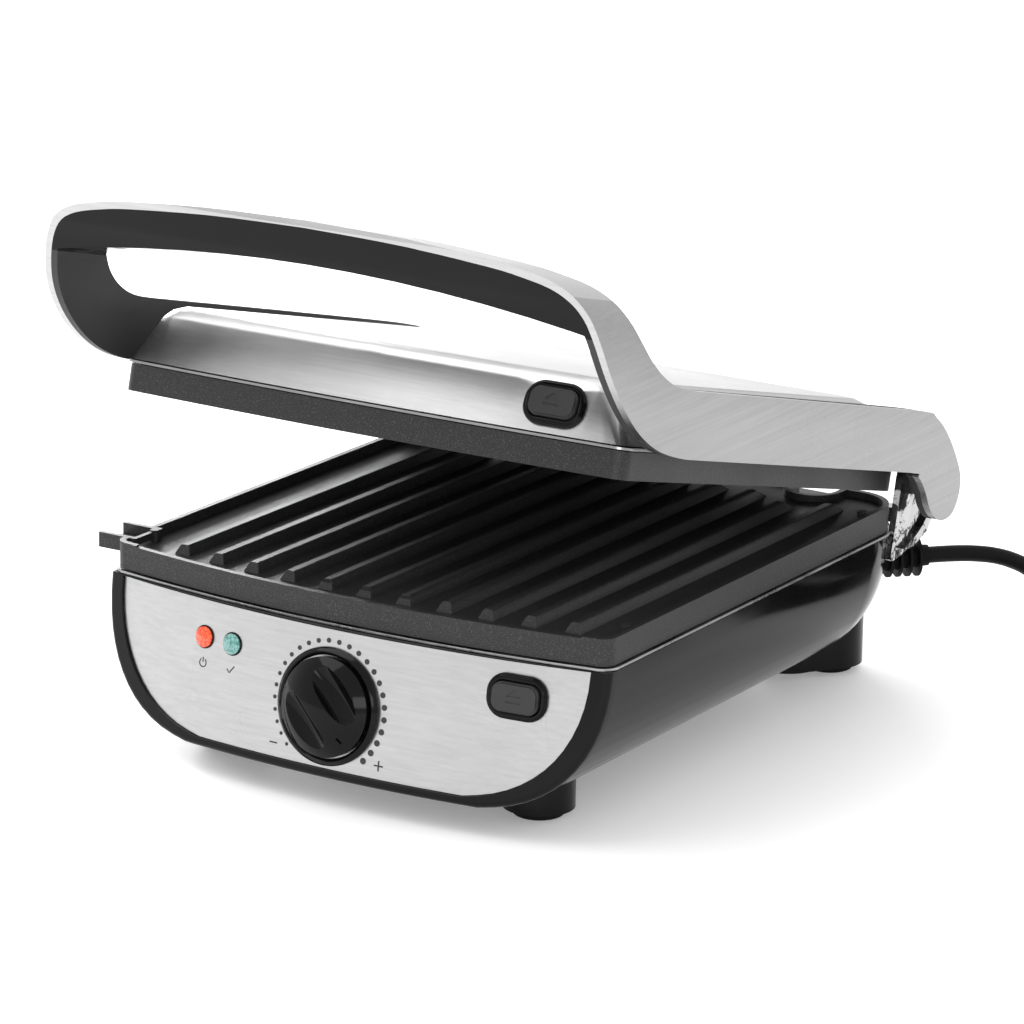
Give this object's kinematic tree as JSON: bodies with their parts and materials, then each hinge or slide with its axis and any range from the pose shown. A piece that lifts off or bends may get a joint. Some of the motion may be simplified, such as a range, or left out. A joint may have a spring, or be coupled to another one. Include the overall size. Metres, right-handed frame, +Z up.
{
  "type": "panini press",
  "caption": "Contact grill: a base and a floating lid with ribbed plates, a bowed bar handle on hinged arms, a heat knob, pilot lamps and a mains cord stored in a coil.",
  "frame": {"origin": "middle of the grill's footprint without its cord, on the table under the foot pads", "axes": "+Z up, +Y to the back of the grill, +X to the right seen from the front"},
  "size_m": [0.393, 0.3989, 0.2451],
  "materials": {
    "gloss_black": "polished",
    "satin_black": "satin",
    "matte_black": "fine spark texture",
    "print_black": "printed ink",
    "brushed_steel": "brushed across",
    "chrome": "plated",
    "zinc_steel": "zinc plated",
    "nonstick": "speckled non-stick coating",
    "heater_tube": "oxidised",
    "ivory_plastic": "matte",
    "lens_red": "clear red, lit",
    "lens_teal": "clear green, unlit",
    "rubber_black": "matte",
    "cord_black": "satin jacket"
  },
  "bodies": {
    "base": {"base_tub": "gloss_black", "front_bezel": "gloss_black", "front_fascia": "brushed_steel", "dial_marks": "print_black", "dial_ring": "gloss_black", "thermostat": "zinc_steel", "lamp_power": "lens_red", "lamp_ready": "lens_teal", "lamp_holders": "ivory_plastic", "release_bezel_lower": "satin_black", "release_spring_lower": "zinc_steel", "pan_lower": "zinc_steel", "element_lower": "heater_tube", "terminal_block": "ivory_plastic", "thermal_fuse": "ivory_plastic", "base_leads": "ivory_plastic", "foot_pads": "rubber_black", "base_screws": "zinc_steel", "hinge_bracket_left": "chrome", "hinge_bracket_right": "chrome", "hinge_pins": "zinc_steel", "hinge_bushes": "matte_black", "cord_relief": "rubber_black", "cord": "cord_black", "cord_coil": "cord_black", "cord_tail": "cord_black", "plug": "rubber_black"},
    "handle": {"handle_strap": "brushed_steel", "arm_lining_left": "matte_black", "arm_lining_right": "matte_black", "grip": "gloss_black", "grip_screws": "zinc_steel"},
    "lid": {"lid_cover": "brushed_steel", "pan_upper": "zinc_steel", "float_pins": "zinc_steel", "element_upper": "heater_tube", "release_bezel_upper": "satin_black", "release_spring_upper": "zinc_steel"},
    "heat_knob": {"knob": "gloss_black", "knob_shaft": "zinc_steel"},
    "button_lower": {"release_button_lower": "matte_black", "latch_lower": "zinc_steel"},
    "button_upper": {"release_button_upper": "matte_black", "latch_upper": "zinc_steel"},
    "plate_lower": {"grill_plate_lower": "nonstick"},
    "plate_upper": {"grill_plate_upper": "nonstick"}
  },
  "joints": [
    {"name": "handle_hinge", "type": "hinge", "parent": "base", "child": "handle", "pos_m": [0, 0.1353, 0.094], "axis": [-1, 0, 0], "range_deg": [-14.1, 80.9]},
    {"name": "lid_float", "type": "hinge", "parent": "handle", "child": "lid", "pos_m": [0, 0.00415, 0.14653], "axis": [1, 0, 0], "range_deg": [0, 8]},
    {"name": "knob_turn", "type": "hinge", "parent": "base", "child": "heat_knob", "pos_m": [0, -0.13822, 0.0415], "axis": [0, -0.9894, 0.1452], "range_deg": [0, 271]},
    {"name": "press_lower", "type": "slide", "parent": "base", "child": "button_lower", "axis": [-0.1508, 0.9781, -0.1436], "range_m": [0, 0.003], "stiffness_N_per_m": 300, "springref_m": -0.002, "deforming": ["release_spring_lower"]},
    {"name": "press_upper", "type": "slide", "parent": "lid", "child": "button_upper", "axis": [-0.1275, 0.8388, -0.5293], "range_m": [0, 0.003], "stiffness_N_per_m": 300, "springref_m": -0.002, "deforming": ["release_spring_upper"]},
    {"name": "plate_lower_out", "type": "slide", "parent": "base", "child": "plate_lower", "axis": [0, -1, 0], "range_m": [0, 0.25]},
    {"name": "plate_upper_out", "type": "slide", "parent": "lid", "child": "plate_upper", "axis": [0, -0.9699, 0.2436], "range_m": [0, 0.25]}
  ]
}
